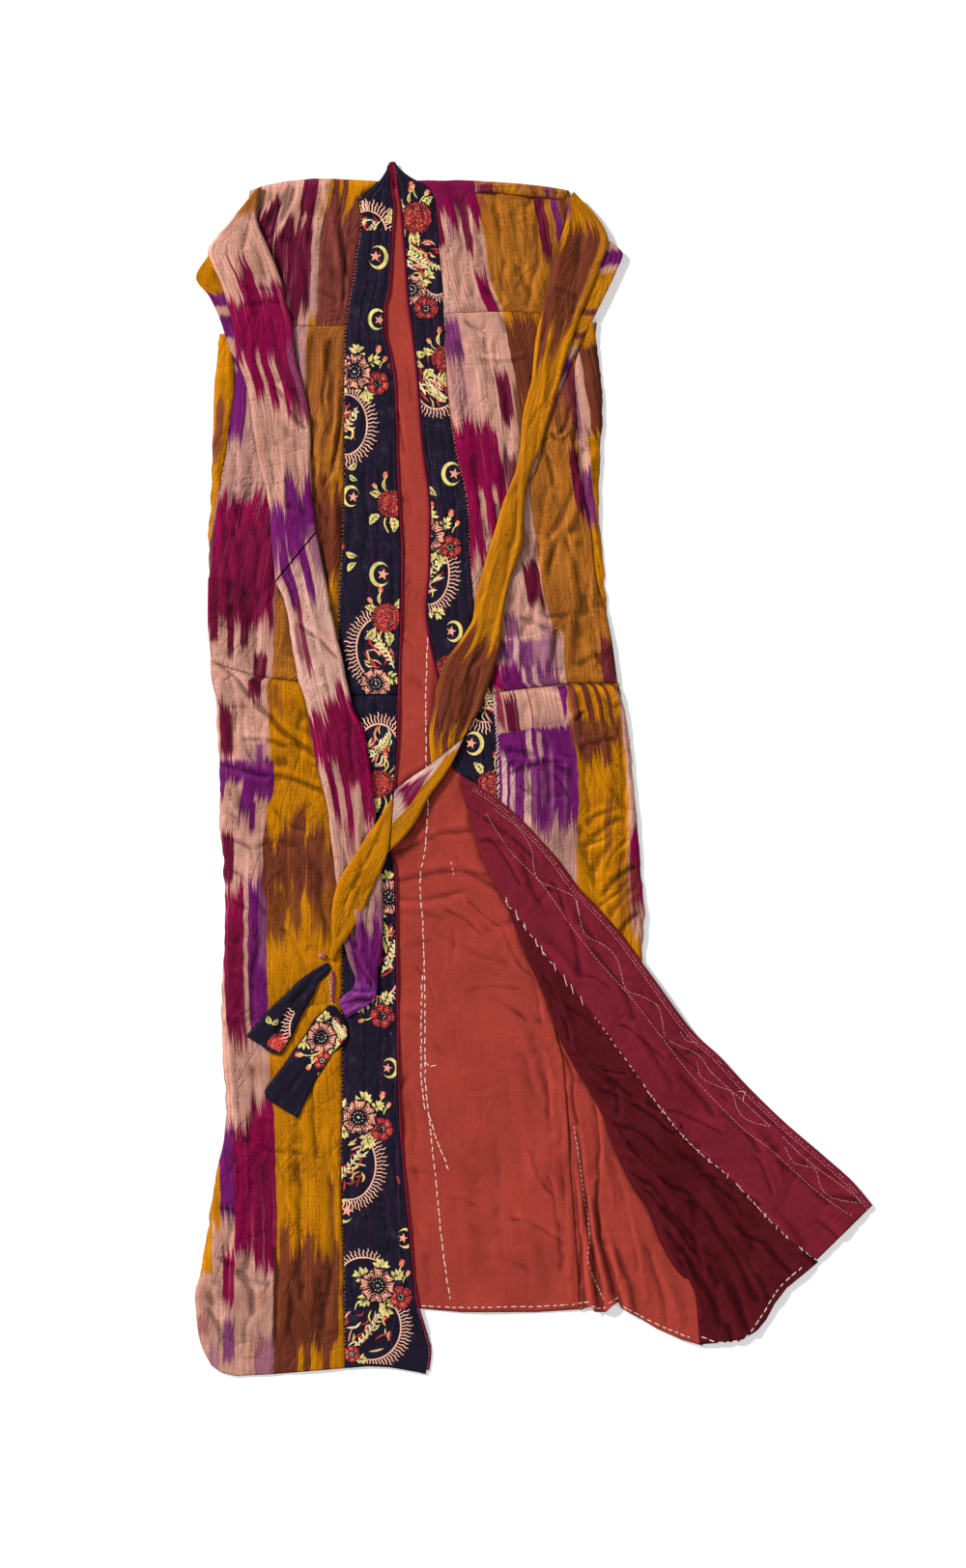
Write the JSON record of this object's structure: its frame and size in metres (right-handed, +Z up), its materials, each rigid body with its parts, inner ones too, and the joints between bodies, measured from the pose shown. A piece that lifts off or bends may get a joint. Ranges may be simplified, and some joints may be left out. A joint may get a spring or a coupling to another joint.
{
  "type": "ikat robe with false sleeves, laid flat",
  "caption": "Long open-front ikat robe lying flat and face up, narrow false sleeves crossed and tied in front, one front turned back to show its facing and lining.",
  "frame": {"origin": "on the surface the robe lies on, under the middle of its bounding box", "axes": "+Y from the hem to the collar, +X to the viewer's right, +Z up out of the robe's face"},
  "size_m": [0.7703, 1.3838, 0.0123],
  "materials": {
    "ikat_cloth": "warp ikat cloth in dusty pink, plum, purple, mustard and brown stripes",
    "printed_cotton": "navy printed cotton with coral, pink and yellow-green flowers",
    "brick_lining": "plain brick red cotton, matt",
    "maroon_lining": "plain dark maroon cotton, matt",
    "crimson_facing": "plain crimson cotton, matt",
    "piping": "dark red woven edging",
    "tie": "twisted cloth cord and knot"
  },
  "bodies": {
    "root": {"back_lining": "brick_lining", "back_panel": "ikat_cloth", "flap_band": "printed_cotton", "flap_facing": "crimson_facing", "flap_front": "ikat_cloth", "flap_lining": "maroon_lining", "gore_lining": "brick_lining", "left_band_lower": "printed_cotton", "left_band_upper": "printed_cotton", "left_cuff": "printed_cotton", "left_front_lower": "ikat_cloth", "left_front_middle": "ikat_cloth", "left_front_upper": "ikat_cloth", "left_piping": "piping", "left_side_gore": "ikat_cloth", "left_sleeve_gusset": "ikat_cloth", "left_sleeve_lower": "ikat_cloth", "left_sleeve_upper": "ikat_cloth", "right_band": "printed_cotton", "right_cuff": "printed_cotton", "right_front_lower": "ikat_cloth", "right_front_middle": "ikat_cloth", "right_front_patch": "ikat_cloth", "right_front_upper": "ikat_cloth", "right_piping": "piping", "right_shoulder_fold": "ikat_cloth", "right_side_gore": "ikat_cloth", "right_sleeve_gusset": "ikat_cloth", "right_sleeve_lower": "ikat_cloth", "right_sleeve_twist": "ikat_cloth", "right_sleeve_upper": "ikat_cloth", "tie_cord": "tie", "tie_knot": "tie"}
  },
  "joints": []
}
